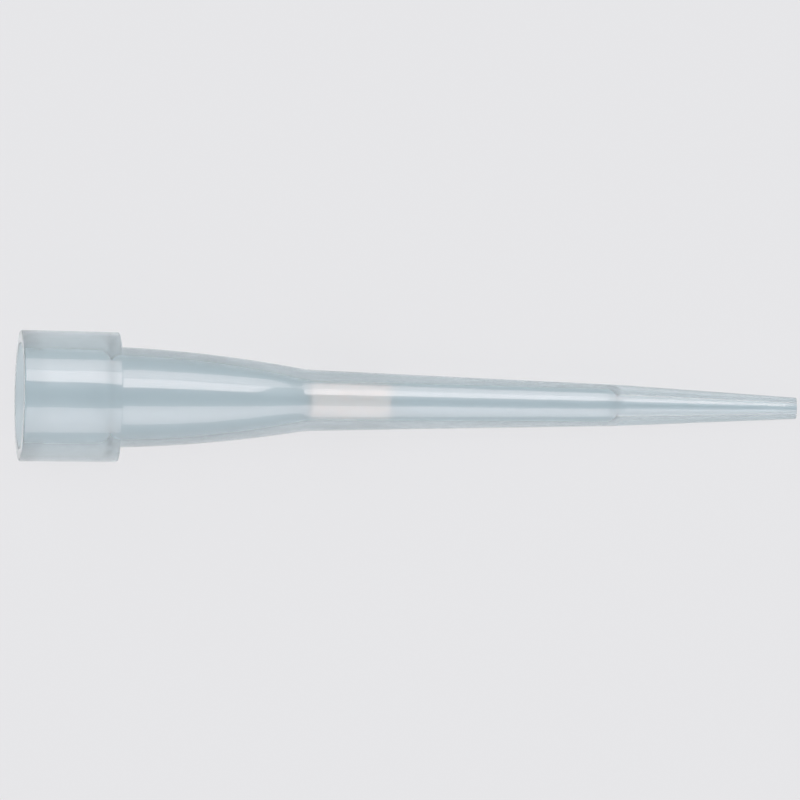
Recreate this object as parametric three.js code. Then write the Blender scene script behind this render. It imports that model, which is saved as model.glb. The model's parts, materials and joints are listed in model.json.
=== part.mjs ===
// Filter pipette tip of the short micro-volume size, 31.5 mm long.
// A one-piece moulded polypropylene tip with a porous barrier plug pressed into its bore.
// Millimetres, +Z up. The tip lies on its side, resting on the lower edge of its collar
// and on its point, with its mouth towards -X.
//
// Both pieces are revolved about the tip's axis. Their outlines are drawn as (radius, place),
// where a place is the distance from the mouth along the axis.

import * as THREE from 'three';

// ---------------------------------------------------------------------------
// Driving dimensions, mm. A radius with "Bore" in its name is the inside; the outside
// there is the bore plus the wall of the same station.
// ---------------------------------------------------------------------------

const tipLength = 31.5;

// Collar: the wide band that the pipette's ejector pushes on and that hangs in a rack.
const collarLength = 4.0;
const socketBoreAtMouth = 1.94;
const collarWallAtMouth = 0.72;
const collarWallAtShoulder = 0.765;
const rimRound = 0.07;
const shoulderRound = 0.05;

// Socket: the tapered seat that grips the pipette's nozzle, with a flared way in.
const leadInDepth = 0.9;
const leadInFlare = 0.2;
const socketDepth = 3.4;
const socketBoreAtBottom = 1.86;
const socketStepDepth = 0.35;

// Body: the swept cone between the collar and the neck.
const bodyLength = 7.65;
const bodyBore = 1.7;
const bodyWall = 0.335;
const bodySweep = 56;
const bodyBoreSweep = 37;
const shoulderFillet = 0.14;

// Neck and shaft: a slim cone whose upper end holds the plug.
const neckBore = 0.79;
const neckWall = 0.45;
const neckBlend = 0.6;
const neckBoreBlend = 0.3;
const shaftEndBore = 0.655;
const shaftEndWall = 0.172;

// Point: the steeper, thicker-walled end below a step in the bore.
const pointLength = 7.1;
const boreStepDepth = 0.42;
const pointBore = 0.42;
const orificeBore = 0.21;
const orificeWall = 0.22;
const orificeRound = 0.05;

// Barrier plug of sintered polyethylene.
const plugLength = 3.3;
const plugInset = 0.1;
const plugClearance = 0.02;
const plugChamfer = 0.08;

// Facets of the revolved solids.
const facetsAround = 64;
const facetsPerRound = 3;
const facetsPerSweep = 9;

// ---------------------------------------------------------------------------
// Places along the axis that follow from the sizes
// ---------------------------------------------------------------------------

const neckPlace = collarLength + bodyLength;
const pointPlace = tipLength - pointLength;
const boreStepPlace = pointPlace - boreStepDepth;
const socketStepPlace = socketDepth + socketStepDepth;

// ---------------------------------------------------------------------------
// Outlines
// ---------------------------------------------------------------------------

// A corner of an outline; round is the length that its rounding takes off each side.
function corner(radius, place, round = 0) {
  return { at: new THREE.Vector2(radius, place), round };
}

// A corner reached by a shallow circular sweep instead of a straight line. Bulge 1 swells
// away from the axis on the way to the point of the tip, and -1 on the way back.
function sweptCorner(radius, place, sweep, bulge, round = 0) {
  return { ...corner(radius, place, round), sweep, bulge };
}

// The points of a sweep between two corners, leaving room for the rounding of both.
function sweepBetween(start, end) {
  if (!end.sweep) return [];
  const chord = end.at.clone().sub(start.at);
  const across = new THREE.Vector2(-chord.y, chord.x).setLength(end.bulge);
  const toCentre = Math.sqrt(end.sweep ** 2 - chord.lengthSq() / 4);
  const centre = start.at.clone().lerp(end.at, 0.5).addScaledVector(across, toCentre);
  const arc = [];
  for (let step = 1; step < facetsPerSweep; step += 1) {
    const onChord = start.at.clone().lerp(end.at, step / facetsPerSweep);
    arc.push(corner(...onChord.sub(centre).setLength(end.sweep).add(centre)));
  }
  return arc.filter(({ at }) => at.distanceTo(start.at) > start.round
    && at.distanceTo(end.at) > end.round);
}

// Rounds one corner between its neighbours with a curve tangent to both sides.
function roundedCorner(before, middle, after) {
  if (middle.round === 0) return [middle.at];
  const towards = (other) => other.at.clone().sub(middle.at).setLength(middle.round).add(middle.at);
  const curve = new THREE.QuadraticBezierCurve(towards(before), middle.at, towards(after));
  return curve.getPoints(facetsPerRound);
}

// Turns a ring of corners into the closed outline of a revolved solid.
function closedOutline(corners) {
  const ring = corners.flatMap((next, index) => [...sweepBetween(corners.at(index - 1), next), next]);
  const outline = ring.flatMap((middle, index) => (
    roundedCorner(ring.at(index - 1), middle, ring[(index + 1) % ring.length])
  ));
  return [...outline, outline[0].clone()];
}

// Revolves an outline about the axis, with a flat facet at the top and underneath.
function revolve(outline) {
  return new THREE.LatheGeometry(outline, facetsAround, Math.PI / facetsAround);
}

// ---------------------------------------------------------------------------
// Tip body: down the outside from the mouth, across the orifice and back up the bore
// ---------------------------------------------------------------------------

const tipOutside = [
  corner(socketBoreAtMouth + collarWallAtMouth, 0, rimRound),
  corner(socketBoreAtBottom + collarWallAtShoulder, collarLength, shoulderRound),
  corner(bodyBore + bodyWall, collarLength, shoulderFillet),
  sweptCorner(neckBore + neckWall, neckPlace, bodySweep, 1, neckBlend),
  corner(shaftEndBore + shaftEndWall, pointPlace),
  corner(orificeBore + orificeWall, tipLength, orificeRound),
];

const tipBore = [
  corner(orificeBore, tipLength),
  corner(pointBore, pointPlace),
  corner(shaftEndBore, boreStepPlace),
  corner(neckBore, neckPlace, neckBoreBlend),
  sweptCorner(bodyBore, socketStepPlace, bodyBoreSweep, -1),
  corner(socketBoreAtBottom, socketDepth),
  corner(socketBoreAtMouth, leadInDepth),
  corner(socketBoreAtMouth + leadInFlare, 0),
];

const tipOutline = closedOutline([...tipOutside, ...tipBore]);

const tipBody = new THREE.Mesh(
  revolve(tipOutline),
  new THREE.MeshStandardMaterial({
    color: 0xc6d2d8,
    roughness: 0.25,
    metalness: 0,
    transparent: true,
    opacity: 0.55,
  }),
);
tipBody.name = 'tip_body';

// ---------------------------------------------------------------------------
// Barrier plug: a porous cylinder that takes the taper of the bore it is pressed into
// ---------------------------------------------------------------------------

const plugTop = neckPlace + plugInset;
const plugBottom = plugTop + plugLength;

// Radius of the plug at a place on the straight taper between the neck and the bore step.
function plugRadiusAt(place) {
  const along = (place - neckPlace) / (boreStepPlace - neckPlace);
  return THREE.MathUtils.lerp(neckBore, shaftEndBore, along) - plugClearance;
}

const plugOutline = new THREE.Path()
  .moveTo(0, plugTop)
  .lineTo(plugRadiusAt(plugTop) - plugChamfer, plugTop)
  .lineTo(plugRadiusAt(plugTop + plugChamfer), plugTop + plugChamfer)
  .lineTo(plugRadiusAt(plugBottom - plugChamfer), plugBottom - plugChamfer)
  .lineTo(plugRadiusAt(plugBottom) - plugChamfer, plugBottom)
  .lineTo(0, plugBottom);

const filterPlug = new THREE.Mesh(
  revolve(plugOutline.getPoints()),
  new THREE.MeshStandardMaterial({ color: 0xf1efec, roughness: 0.95, metalness: 0 }),
);
filterPlug.name = 'filter_plug';

// ---------------------------------------------------------------------------
// The tip at rest
// ---------------------------------------------------------------------------

// Slope of the axis when the tip lies on its collar and its point. For each place on the
// point, the steepest line up to the collar clears the whole collar; the shallowest of
// those lines clears the whole point too, so it is the surface.
function restingSlope(outline) {
  const flatFacet = Math.cos(Math.PI / facetsAround);
  const collar = outline.filter(({ y }) => y <= collarLength);
  const point = outline.filter(({ y }) => y >= pointPlace);
  const steepestFrom = (low) => Math.max(...collar.map((high) => (high.x - low.x) / (low.y - high.y)));
  return flatFacet * Math.min(...point.map(steepestFrom));
}

// The revolved pieces have their axis along +Y with the mouth at 0; this turns it to +X.
const tip = new THREE.Group();
tip.add(tipBody, filterPlug);
tip.rotation.z = -Math.PI / 2;

const lyingTip = new THREE.Group();
lyingTip.add(tip);
lyingTip.rotation.y = Math.atan(restingSlope(tipOutline));

// The origin is on the surface that the tip lies on, under the middle of its bounds.
const part = new THREE.Group();
part.add(lyingTip);
const bounds = new THREE.Box3().setFromObject(part, true);
const middle = bounds.getCenter(new THREE.Vector3());
part.position.set(-middle.x, 0, -bounds.min.z);

export default part;
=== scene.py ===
import json
import math

import bmesh
import bpy
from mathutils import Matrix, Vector


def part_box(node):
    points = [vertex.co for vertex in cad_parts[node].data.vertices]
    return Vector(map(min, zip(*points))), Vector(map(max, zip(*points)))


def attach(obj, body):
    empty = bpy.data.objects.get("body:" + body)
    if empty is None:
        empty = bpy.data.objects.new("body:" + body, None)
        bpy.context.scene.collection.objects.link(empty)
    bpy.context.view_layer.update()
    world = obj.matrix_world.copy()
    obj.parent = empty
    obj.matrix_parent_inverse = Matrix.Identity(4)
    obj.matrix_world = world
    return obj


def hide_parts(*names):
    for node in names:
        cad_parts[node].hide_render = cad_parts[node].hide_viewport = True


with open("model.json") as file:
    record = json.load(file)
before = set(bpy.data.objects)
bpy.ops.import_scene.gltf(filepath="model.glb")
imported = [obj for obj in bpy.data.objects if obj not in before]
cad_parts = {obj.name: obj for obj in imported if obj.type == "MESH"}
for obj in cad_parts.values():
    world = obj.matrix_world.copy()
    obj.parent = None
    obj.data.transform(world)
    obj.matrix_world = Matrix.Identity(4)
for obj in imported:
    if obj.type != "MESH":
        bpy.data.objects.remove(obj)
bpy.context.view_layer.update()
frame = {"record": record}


# --- Tip body -----------------------------------------------------------------------------
# One injection moulding in natural polypropylene. A wide collar with a tapered socket for
# the pipette's nozzle runs down through a swept body and a slim shaft to the thick-walled
# point. It is drawn off its core pin along its axis, so every surface is round about it.

MM = 0.001
FACETS_AROUND = 192
BEVEL_STEPS = 6
SMOOTH_UNDER = math.radians(40)

# Places along the axis, in mm from the mouth.
COLLAR_END = 4.0
NECK = 11.65
POINT_START = 24.4
TIP_END = 31.5
LEAD_IN_DEPTH = 0.9
SOCKET_DEPTH = 3.4
SOCKET_STEP = 3.75
BORE_STEP = 23.98

# Half the width at those places, in mm, outside and in the bore, with the radius of the
# shallow arc that each side of the body follows.
MOUTH_OUTSIDE = 2.66
SHOULDER_OUTSIDE = 2.625
BODY_OUTSIDE = 2.035
BODY_SWEEP = 56.0
NECK_OUTSIDE = 1.24
POINT_OUTSIDE = 0.827
END_OUTSIDE = 0.43
MOUTH_BORE = 2.14
SOCKET_TOP_BORE = 1.94
SOCKET_BORE = 1.86
BODY_BORE = 1.7
BODY_BORE_SWEEP = 37.0
NECK_BORE = 0.79
SHAFT_BORE = 0.655
POINT_BORE = 0.42
ORIFICE = 0.21

# Roundings, in mm off each side of an edge.
RIM_ROUND = 0.07
COLLAR_ROUND = 0.05
LEAD_IN_ROUND = 0.15
SOCKET_STEP_ROUND = 0.17
NECK_ROUND = 0.3
BORE_STEP_ROUND = 0.2
POINT_ROUND = 0.25
END_ROUND = 0.04


def edit_only(piece):
    """Makes piece the one selected object and opens it in edit mode."""
    bpy.ops.object.select_all(action="DESELECT")
    piece.select_set(True)
    bpy.context.view_layer.objects.active = piece
    bpy.ops.object.mode_set(mode="EDIT")


def draw_wall_to(last, radius, place, steps=1, sweep=0.0):
    """Extrudes the open ring on to a new radius and place, along a line or a shallow arc."""
    start = Vector(last)
    end = Vector((radius, place))
    chord = end - start
    middle = (start + end) / 2
    across = Vector((-chord.y, chord.x)).normalized() * math.copysign(1, chord.y)
    centre = middle + across * math.sqrt(max(sweep ** 2 - chord.length_squared / 4, 0))
    here = start
    for step in range(1, steps + 1):
        there = start.lerp(end, step / steps)
        if sweep:
            there = centre + (there - centre).normalized() * sweep
        bpy.ops.mesh.extrude_region_move(
            TRANSFORM_OT_translate={"value": (0, 0, (there.y - here.y) * MM)})
        bpy.ops.transform.resize(
            value=(there.x / here.x, there.x / here.x, 1),
            center_override=(0, 0, there.y * MM))
        here = there
    return radius, place


def select_rings(piece, rings, slack=0.004):
    """Selects the edges that run round the axis at each (radius, place), all in mm."""
    mesh = bmesh.from_edit_mesh(piece.data)
    bpy.ops.mesh.select_all(action="DESELECT")

    def on_ring(vertex, ring):
        radius = math.hypot(vertex.co.x, vertex.co.y) / MM
        return abs(radius - ring[0]) < slack and abs(vertex.co.z / MM - ring[1]) < slack

    for edge in mesh.edges:
        edge.select = any(all(on_ring(v, ring) for v in edge.verts) for ring in rings)
    bmesh.update_edit_mesh(piece.data)


def round_rings(piece, rings, width):
    """Rounds the edges that run round the axis, taking width mm off each side."""
    select_rings(piece, rings)
    bpy.ops.mesh.bevel(
        offset=width * MM, offset_type="OFFSET", segments=BEVEL_STEPS, affect="EDGES")


bpy.ops.object.select_all(action="DESELECT")
bpy.ops.mesh.primitive_circle_add(
    vertices=FACETS_AROUND, radius=MOUTH_OUTSIDE * MM, location=(0, 0, 0))
tip = bpy.context.object
tip.name = "moulded_tip"
edit_only(tip)
bpy.ops.mesh.select_all(action="SELECT")

ring = (MOUTH_OUTSIDE, 0.0)
ring = draw_wall_to(ring, SHOULDER_OUTSIDE, COLLAR_END, steps=4)
ring = draw_wall_to(ring, BODY_OUTSIDE, COLLAR_END)
ring = draw_wall_to(ring, NECK_OUTSIDE, NECK, steps=11, sweep=BODY_SWEEP)
ring = draw_wall_to(ring, POINT_OUTSIDE, POINT_START, steps=12)
ring = draw_wall_to(ring, END_OUTSIDE, TIP_END, steps=8)
ring = draw_wall_to(ring, ORIFICE, TIP_END)
ring = draw_wall_to(ring, POINT_BORE, POINT_START, steps=8)
ring = draw_wall_to(ring, SHAFT_BORE, BORE_STEP, steps=2)
ring = draw_wall_to(ring, NECK_BORE, NECK, steps=12)
ring = draw_wall_to(ring, BODY_BORE, SOCKET_STEP, steps=11, sweep=BODY_BORE_SWEEP)
ring = draw_wall_to(ring, SOCKET_BORE, SOCKET_DEPTH)
ring = draw_wall_to(ring, SOCKET_TOP_BORE, LEAD_IN_DEPTH, steps=3)
ring = draw_wall_to(ring, MOUTH_BORE, 0.0)

bpy.ops.mesh.select_all(action="DESELECT")
bpy.ops.mesh.select_mode(type="EDGE")
bpy.ops.mesh.select_non_manifold()
bpy.ops.mesh.bridge_edge_loops()

round_rings(tip, [(MOUTH_OUTSIDE, 0.0)], RIM_ROUND)
round_rings(tip, [
    (MOUTH_BORE, 0.0), (SHOULDER_OUTSIDE, COLLAR_END), (BODY_OUTSIDE, COLLAR_END)],
    COLLAR_ROUND)
round_rings(tip, [(SOCKET_TOP_BORE, LEAD_IN_DEPTH)], LEAD_IN_ROUND)
round_rings(tip, [(SOCKET_BORE, SOCKET_DEPTH), (BODY_BORE, SOCKET_STEP)], SOCKET_STEP_ROUND)
round_rings(tip, [(NECK_OUTSIDE, NECK)], NECK_ROUND)
round_rings(tip, [(NECK_BORE, NECK)], NECK_ROUND)
round_rings(tip, [(SHAFT_BORE, BORE_STEP), (POINT_BORE, POINT_START)], BORE_STEP_ROUND)
round_rings(tip, [(POINT_OUTSIDE, POINT_START)], POINT_ROUND)
round_rings(tip, [(END_OUTSIDE, TIP_END), (ORIFICE, TIP_END)], END_ROUND)

bpy.ops.mesh.select_all(action="SELECT")
bpy.ops.mesh.remove_doubles(threshold=0.0001 * MM)
bpy.ops.mesh.normals_make_consistent(inside=False)
bpy.ops.object.mode_set(mode="OBJECT")
bpy.ops.object.shade_smooth_by_angle(angle=SMOOTH_UNDER)

# The core pin is finished duller than the cavity, and its turned steps are duller still.
PIN_DULLNESS = 0.3
STEP_DULLNESS = 0.4
STEP_SLANT = 0.3
dullness = tip.data.attributes.new("dullness", "FLOAT", "FACE")
for face in tip.data.polygons:
    outward = face.normal.x * face.center.x + face.normal.y * face.center.y
    if outward < 0:
        is_step = abs(face.normal.z) > STEP_SLANT
        dullness.data[face.index].value = STEP_DULLNESS if is_step else PIN_DULLNESS

# The tip lies as the frame does: its axis follows the shoulder's, its lowest edge is on
# the floor, and its middle is over the middle of the frame.
mounts = {mount["name"]: mount for mount in frame["record"]["mounts"]}
tip_axis = Vector(mounts["rack_shoulder"]["axis"])


def move_to(piece, place):
    """Moves a piece and applies the move, so that its place is in its mesh."""
    bpy.ops.object.select_all(action="DESELECT")
    piece.select_set(True)
    bpy.context.view_layer.objects.active = piece
    piece.location = place
    bpy.ops.object.transform_apply(location=True, rotation=True, scale=True)


def lay_down(piece):
    """Turns an upright piece on to the tip's axis, about the middle of the mouth."""
    piece.rotation_mode = "QUATERNION"
    piece.rotation_quaternion = Vector((0, 0, 1)).rotation_difference(tip_axis)
    move_to(piece, (0, 0, 0))


def middle_and_floor(piece):
    """The shift that brings a laid-down piece over the frame's middle and onto the floor."""
    corners = [vertex.co for vertex in piece.data.vertices]
    low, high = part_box("tip_body")
    along = (min(c.x for c in corners) + max(c.x for c in corners)) / 2
    return Vector(((low.x + high.x) / 2 - along, 0, low.z - min(c.z for c in corners)))


lay_down(tip)
tip_shift = middle_and_floor(tip)
move_to(tip, tip_shift)

# Natural polypropylene is clear but milky: a little of the light scatters in the wall, in
# faint clouds drawn out along the flow. The polished steel of the mould leaves a soft gloss
# with fine draw lines along the axis.
CLOUD_TINTS = ((0.645, 0.735, 0.77, 1), (0.71, 0.80, 0.83, 1))
CLOUD_SIZE = 2.2 * MM
CLOUD_STRETCH = (1, 1, 0.35)
GLOSS_RANGE = (0.03, 0.07)
DRAW_LINES_AROUND = 150
DRAW_LINE_LENGTH = 9 * MM
DRAW_LINE_DEPTH = 0.0006 * MM


def new_material(name):
    """A new node material, with the Principled shader that it comes with."""
    material = bpy.data.materials.new(name)
    material.use_nodes = True
    return material, material.node_tree.nodes["Principled BSDF"]


def wire(owner, source, target):
    """Links two sockets in the node tree of a material or of the world."""
    owner.node_tree.links.new(source, target)


def fill(owner, socket, value):
    """Gives an input what it takes: a link from another socket, or a plain value."""
    if isinstance(value, bpy.types.NodeSocket):
        wire(owner, value, socket)
    else:
        socket.default_value = value


def add_node(owner, kind, settings=None, **values):
    """Adds a node, sets its properties, and fills each named input."""
    node = owner.node_tree.nodes.new(kind)
    for name, value in (settings or {}).items():
        setattr(node, name, value)
    for name, value in values.items():
        fill(owner, node.inputs[name.replace("_", " ")], value)
    return node


def work_out(owner, operation, *terms, kind="ShaderNodeMath"):
    """The output of a Math node that works on the terms, each a socket or a value."""
    node = add_node(owner, kind, {"operation": operation})
    for socket, term in zip(node.inputs, terms):
        fill(owner, socket, term)
    return node.outputs[0]


def mix_on_surface(owner, share, first, second):
    """Mixes two shaders by a share, as what the material or the world ends in."""
    mix = add_node(owner, "ShaderNodeMixShader")
    for socket, value in zip(mix.inputs, (share, first, second)):
        fill(owner, socket, value)
    wire(owner, mix.outputs[0], owner.node_tree.get_output_node("ALL").inputs["Surface"])


polypropylene, shader = new_material("natural_polypropylene")

# Object coordinates turned so that Z runs along the axis, from the middle of the mouth.
turn = tip_axis.rotation_difference(Vector((0, 0, 1)))
place = add_node(polypropylene, "ShaderNodeTexCoord")
upright = add_node(
    polypropylene, "ShaderNodeMapping", Vector=place.outputs["Object"],
    Rotation=turn.to_euler(), Location=-(turn @ tip_shift))
along_axis = upright.outputs["Vector"]

stretched = work_out(
    polypropylene, "MULTIPLY", along_axis, CLOUD_STRETCH, kind="ShaderNodeVectorMath")
clouds = add_node(
    polypropylene, "ShaderNodeTexNoise", Vector=stretched, Scale=1 / CLOUD_SIZE, Detail=3.0,
    Roughness=0.55)
cloud_tint = add_node(
    polypropylene, "ShaderNodeMix", {"data_type": "RGBA"}, Factor=clouds.outputs["Fac"])
cloud_tint.inputs[6].default_value, cloud_tint.inputs[7].default_value = CLOUD_TINTS
wire(polypropylene, cloud_tint.outputs[2], shader.inputs["Base Color"])

around = add_node(
    polypropylene, "ShaderNodeTexGradient", {"gradient_type": "RADIAL"}, Vector=along_axis)
split = add_node(polypropylene, "ShaderNodeSeparateXYZ", Vector=along_axis)
line_place = add_node(
    polypropylene, "ShaderNodeCombineXYZ",
    X=work_out(polypropylene, "MULTIPLY", around.outputs["Fac"], DRAW_LINES_AROUND),
    Y=work_out(polypropylene, "DIVIDE", split.outputs["Z"], DRAW_LINE_LENGTH))
draw_lines = add_node(
    polypropylene, "ShaderNodeTexNoise", {"noise_dimensions": "2D"},
    Vector=line_place.outputs[0], Scale=1.0, Detail=2.0)
gloss = add_node(
    polypropylene, "ShaderNodeMapRange", Value=draw_lines.outputs["Fac"],
    From_Min=0.3, From_Max=0.7, To_Min=GLOSS_RANGE[0], To_Max=GLOSS_RANGE[1])
dullness = add_node(polypropylene, "ShaderNodeAttribute", {"attribute_name": "dullness"})
roughness = work_out(polypropylene, "ADD", dullness.outputs["Fac"], gloss.outputs[0])
wire(polypropylene, roughness, shader.inputs["Roughness"])
relief = add_node(
    polypropylene, "ShaderNodeBump", Height=draw_lines.outputs["Fac"],
    Distance=DRAW_LINE_DEPTH, Strength=1.0)
wire(polypropylene, relief.outputs["Normal"], shader.inputs["Normal"])
shader.inputs["IOR"].default_value = 1.49
shader.inputs["Transmission Weight"].default_value = 0.94

# Lamps shine through the wall on to the plug and the floor, squarely best: a wall that
# is met at a slant turns the light aside, so a tube has a light shadow with dark edges.
CLEAR_SHADOW = (0.97, 0.98, 0.98, 1)
SLANT_SHADOW = (0.06, 0.07, 0.08, 1)
CLEAR_UP_TO = 0.5
DARK_FROM = 0.95
slant = add_node(polypropylene, "ShaderNodeLayerWeight", Blend=0.5)
shadow_tint = add_node(
    polypropylene, "ShaderNodeValToRGB", Fac=slant.outputs["Facing"])
squarely, slanted = shadow_tint.color_ramp.elements
squarely.color, squarely.position = CLEAR_SHADOW, CLEAR_UP_TO
slanted.color, slanted.position = SLANT_SHADOW, DARK_FROM
lit_through = add_node(
    polypropylene, "ShaderNodeBsdfTransparent", Color=shadow_tint.outputs["Color"])
ray = add_node(polypropylene, "ShaderNodeLightPath")
mix_on_surface(
    polypropylene, ray.outputs["Is Shadow Ray"], shader.outputs[0], lit_through.outputs[0])
tip.data.materials.append(polypropylene)
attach(tip, "root")
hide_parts("tip_body")


# --- Barrier plug -------------------------------------------------------------------------
# A short cylinder of sintered polyethylene grains, cut from rod and pressed down the bore
# until it wedges in the taper just below the neck. Air passes through it, but no spray.

PLUG_TOP = 11.75
PLUG_BOTTOM = 15.05
PLUG_GAP = 0.02
PLUG_CHAMFER = 0.08
PLUG_CORE = 0.03
RING_STEP = 0.022
GRAIN = 0.15 * MM
PORE_DEPTH = 0.035 * MM


def bore_at(place):
    """Half the width of the bore at a place on the taper below the neck, in mm."""
    along = (place - NECK) / (BORE_STEP - NECK)
    return NECK_BORE + (SHAFT_BORE - NECK_BORE) * along


bpy.ops.object.select_all(action="DESELECT")
bpy.ops.mesh.primitive_circle_add(
    vertices=FACETS_AROUND, radius=PLUG_CORE * MM, fill_type="NGON",
    location=(0, 0, PLUG_TOP * MM))
plug = bpy.context.object
plug.name = "barrier_plug"
bpy.ops.object.transform_apply(location=True, rotation=True, scale=True)
edit_only(plug)
bpy.ops.mesh.select_all(action="SELECT")
ring = (PLUG_CORE, PLUG_TOP)
for radius, place in (
        (bore_at(PLUG_TOP) - PLUG_GAP - PLUG_CHAMFER, PLUG_TOP),
        (bore_at(PLUG_TOP + PLUG_CHAMFER) - PLUG_GAP, PLUG_TOP + PLUG_CHAMFER),
        (bore_at(PLUG_BOTTOM - PLUG_CHAMFER) - PLUG_GAP, PLUG_BOTTOM - PLUG_CHAMFER),
        (bore_at(PLUG_BOTTOM) - PLUG_GAP - PLUG_CHAMFER, PLUG_BOTTOM),
        (PLUG_CORE, PLUG_BOTTOM)):
    length = math.hypot(radius - ring[0], place - ring[1])
    ring = draw_wall_to(ring, radius, place, steps=math.ceil(length / RING_STEP))
bpy.ops.mesh.select_all(action="SELECT")
bpy.ops.mesh.normals_make_consistent(inside=False)
bpy.ops.object.mode_set(mode="OBJECT")

# The grains stand out from each other, with the pores sunk between them.
cells = bpy.data.textures.new("grain_cells", "VORONOI")
cells.noise_scale = GRAIN
cells.noise_intensity = 1.2
sink = plug.modifiers.new("pores", "DISPLACE")
sink.texture = cells
sink.texture_coords = "LOCAL"
sink.mid_level = 0.0
sink.strength = -PORE_DEPTH
bpy.ops.object.modifier_apply(modifier="pores")
bpy.ops.object.shade_smooth_by_angle(angle=math.radians(60))
lay_down(plug)
move_to(plug, tip_shift)

# The grains are white and let light through, so the plug glows evenly; the pores between
# them are painted darker, as painted shade in the hollows.
GRAIN_TINT = (0.97, 0.87, 0.83, 1)
PORE_SHADE_TINT = (0.84, 0.74, 0.70, 1)
GRAIN_UP_TO = 0.35
PORE_FROM = 0.85
GLOW_DEPTH = 0.8 * MM
POWDER_SIZE = 0.03 * MM
POWDER_DEPTH = 0.004 * MM

sintered, shader = new_material("porous_polyethylene")
place = add_node(sintered, "ShaderNodeTexCoord")
grains = add_node(
    sintered, "ShaderNodeTexVoronoi", {"feature": "F1"}, Vector=place.outputs["Object"],
    Scale=1 / GRAIN)
grain_tint_and_pore_shade = add_node(sintered, "ShaderNodeValToRGB", Fac=grains.outputs["Distance"])
grain, pore = grain_tint_and_pore_shade.color_ramp.elements
grain.color, grain.position = GRAIN_TINT, GRAIN_UP_TO
# The pore colour is painted shade: the hollows between the grains are drawn darker.
pore.color, pore.position = PORE_SHADE_TINT, PORE_FROM
wire(sintered, grain_tint_and_pore_shade.outputs["Color"], shader.inputs["Base Color"])
powder = add_node(
    sintered, "ShaderNodeTexNoise", Vector=place.outputs["Object"], Scale=1 / POWDER_SIZE,
    Detail=2.0)
rough_skin = add_node(
    sintered, "ShaderNodeBump", Height=powder.outputs["Fac"], Distance=POWDER_DEPTH,
    Strength=1.0)
wire(sintered, rough_skin.outputs["Normal"], shader.inputs["Normal"])
shader.inputs["Roughness"].default_value = 0.9
shader.inputs["Subsurface Weight"].default_value = 0.8
shader.inputs["Subsurface Radius"].default_value = (1.0, 0.9, 0.85)
shader.inputs["Subsurface Scale"].default_value = GLOW_DEPTH
plug.data.materials.append(sintered)
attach(plug, "root")
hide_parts("filter_plug")


# --- Floor --------------------------------------------------------------------------------
# A wide sheet of pale, matt, slightly cool card that the tip lies on. It is printed evenly
# and stays even right across under the lamps, but still takes the tip's shadow.

FLOOR_SIZE = 4.0
FLOOR_TINT = (0.70, 0.745, 0.76, 1)

# The even part of the card's brightness, and the share of it that shows directly and in
# gloss or through plastic. The rest is the lamps' own light on the card.
EVEN_GREY = (0.794, 0.794, 0.812, 1)
EVEN_SEEN = 0.92
EVEN_IN_PLASTIC = 0.5

bpy.ops.object.select_all(action="DESELECT")
bpy.ops.mesh.primitive_plane_add(size=FLOOR_SIZE, location=(0, 0, 0))
floor = bpy.context.object
floor.name = "floor"

floor_paint, shader = new_material("pale_floor")
shader.inputs["Base Color"].default_value = FLOOR_TINT
shader.inputs["Roughness"].default_value = 0.9
shader.inputs["Specular IOR Level"].default_value = 0.0
even = add_node(floor_paint, "ShaderNodeEmission", Color=EVEN_GREY, Strength=1.0)
ray = add_node(floor_paint, "ShaderNodeLightPath")
in_plastic = work_out(
    floor_paint, "MAXIMUM", ray.outputs["Is Glossy Ray"], ray.outputs["Is Transmission Ray"])
in_plastic = work_out(floor_paint, "MULTIPLY", in_plastic, EVEN_IN_PLASTIC)
share = work_out(
    floor_paint, "MULTIPLY_ADD", ray.outputs["Is Camera Ray"], EVEN_SEEN, in_plastic)
mix_on_surface(floor_paint, share, shader.outputs[0], even.outputs[0])
floor.data.materials.append(floor_paint)


# --- Lights -------------------------------------------------------------------------------
# Cloth-fronted softboxes hung level over the table: two on the far side draw the long strip
# of light down the tip, one on the near side fills it, and two wide ones light the plug and
# the floor.

LIGHT_HEIGHT = 0.25


def softbox(name, low, high, power, colour, turn=0.0):
    """A level panel over the tip that spans these angles, in degrees off the vertical."""
    left, near = (math.tan(math.radians(angle)) * LIGHT_HEIGHT for angle in low)
    right, far = (math.tan(math.radians(angle)) * LIGHT_HEIGHT for angle in high)
    lamp = bpy.data.lights.new(name, "AREA")
    lamp.shape = "RECTANGLE"
    lamp.size = right - left
    lamp.size_y = far - near
    lamp.energy = power * lamp.size * lamp.size_y
    lamp.color = colour
    panel = bpy.data.objects.new(name, lamp)
    panel.location = ((left + right) / 2, (near + far) / 2, LIGHT_HEIGHT)
    panel.rotation_euler = (0, 0, math.radians(turn))
    panel.visible_camera = False
    bpy.context.scene.collection.objects.link(panel)
    return panel


key = softbox("key_softbox", (-14, 25), (27.4, 47), 18.0, (1.0, 0.84, 0.82), turn=-13)
wing = softbox("wing_softbox", (-14, 48), (39.2, 69), 10.5, (1.0, 0.82, 0.80), turn=-13)
softbox("fill_softbox", (-14, -67), (34, -20), 8.2, (1.0, 0.82, 0.81))
far_room = softbox("far_room_softbox", (-60, 5), (60, 70), 5.5, (1.0, 0.985, 0.985))
near_room = softbox("near_room_softbox", (-60, -70), (60, -15), 2.7, (1.0, 0.97, 0.95))
for panel in (key, wing):
    panel.visible_diffuse = False
for panel in (far_room, near_room):
    panel.visible_glossy = False
for panel in (key, wing, far_room, near_room):
    panel.visible_transmission = False

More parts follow.
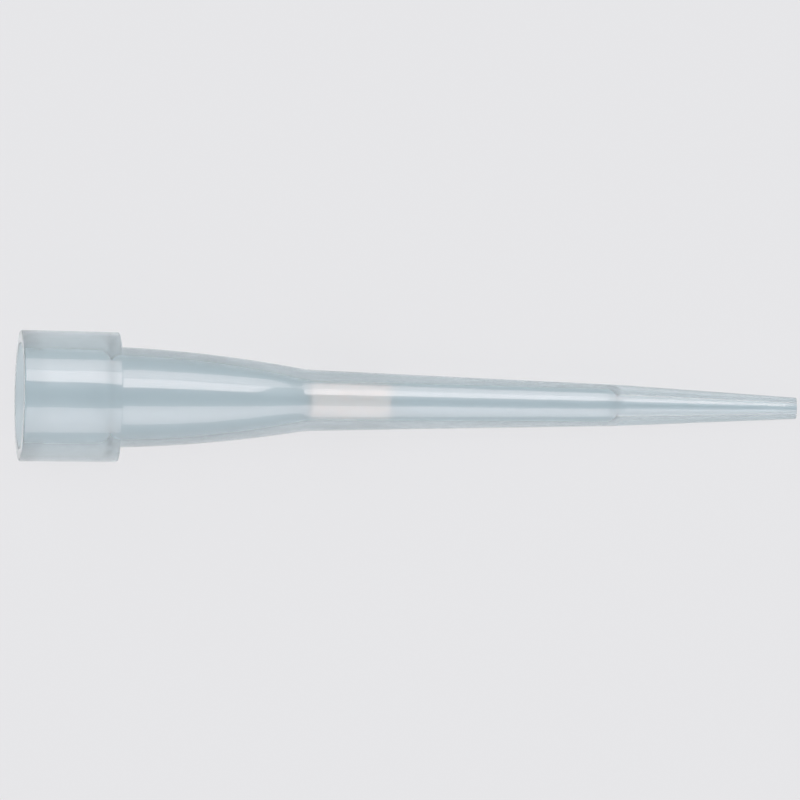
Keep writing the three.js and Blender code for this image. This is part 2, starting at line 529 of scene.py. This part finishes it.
# The room's low light, with the pale walls and darker ceiling that gloss and plastic show.
WORLD_LIGHT = (0.15, 0.14, 0.14, 1)
WALL_SEEN = (0.78, 0.79, 0.81, 1)
CEILING_SEEN = (0.14, 0.17, 0.19, 1)
WALL_UP_TO = 0.60
CEILING_FROM = 0.90

world = bpy.data.worlds.new("studio")
bpy.context.scene.world = world
world.use_nodes = True
light = world.node_tree.nodes["Background"]
light.inputs["Color"].default_value = WORLD_LIGHT
direction = add_node(world, "ShaderNodeTexCoord")
height = add_node(world, "ShaderNodeSeparateXYZ", Vector=direction.outputs["Generated"])
room_tint = add_node(world, "ShaderNodeValToRGB", Fac=height.outputs["Z"])
wall, ceiling = room_tint.color_ramp.elements
wall.color, wall.position = WALL_SEEN, WALL_UP_TO
ceiling.color, ceiling.position = CEILING_SEEN, CEILING_FROM
backdrop = add_node(world, "ShaderNodeBackground", Color=room_tint.outputs["Color"])
ray = add_node(world, "ShaderNodeLightPath")
seen = ray.outputs["Is Camera Ray"]
for other in ("Is Glossy Ray", "Is Transmission Ray"):
    seen = work_out(world, "MAXIMUM", seen, ray.outputs[other])
mix_on_surface(world, seen, light.outputs[0], backdrop.outputs[0])


# --- Camera -------------------------------------------------------------------------------
# A copy camera on a column, looking straight down on the tip through a long lens that shows
# no perspective.

FRAME_WIDTH = 32.347 * MM
LENS_PLACE = (-0.229 * MM, 0.0735 * MM, 0.2)
ROLL = math.radians(0.945)
LIGHT_BOUNCES = 12

lens = bpy.data.cameras.new("camera")
lens.type = "ORTHO"
lens.ortho_scale = FRAME_WIDTH
lens.clip_start = 0.005
lens.clip_end = 5.0
camera = bpy.data.objects.new("camera", lens)
camera.location = LENS_PLACE
camera.rotation_euler = (0, 0, ROLL)
bpy.context.scene.collection.objects.link(camera)
bpy.context.scene.camera = camera

bpy.context.scene.view_settings.view_transform = "Standard"
bpy.context.scene.cycles.max_bounces = LIGHT_BOUNCES
bpy.context.scene.cycles.glossy_bounces = LIGHT_BOUNCES
bpy.context.scene.cycles.transmission_bounces = LIGHT_BOUNCES
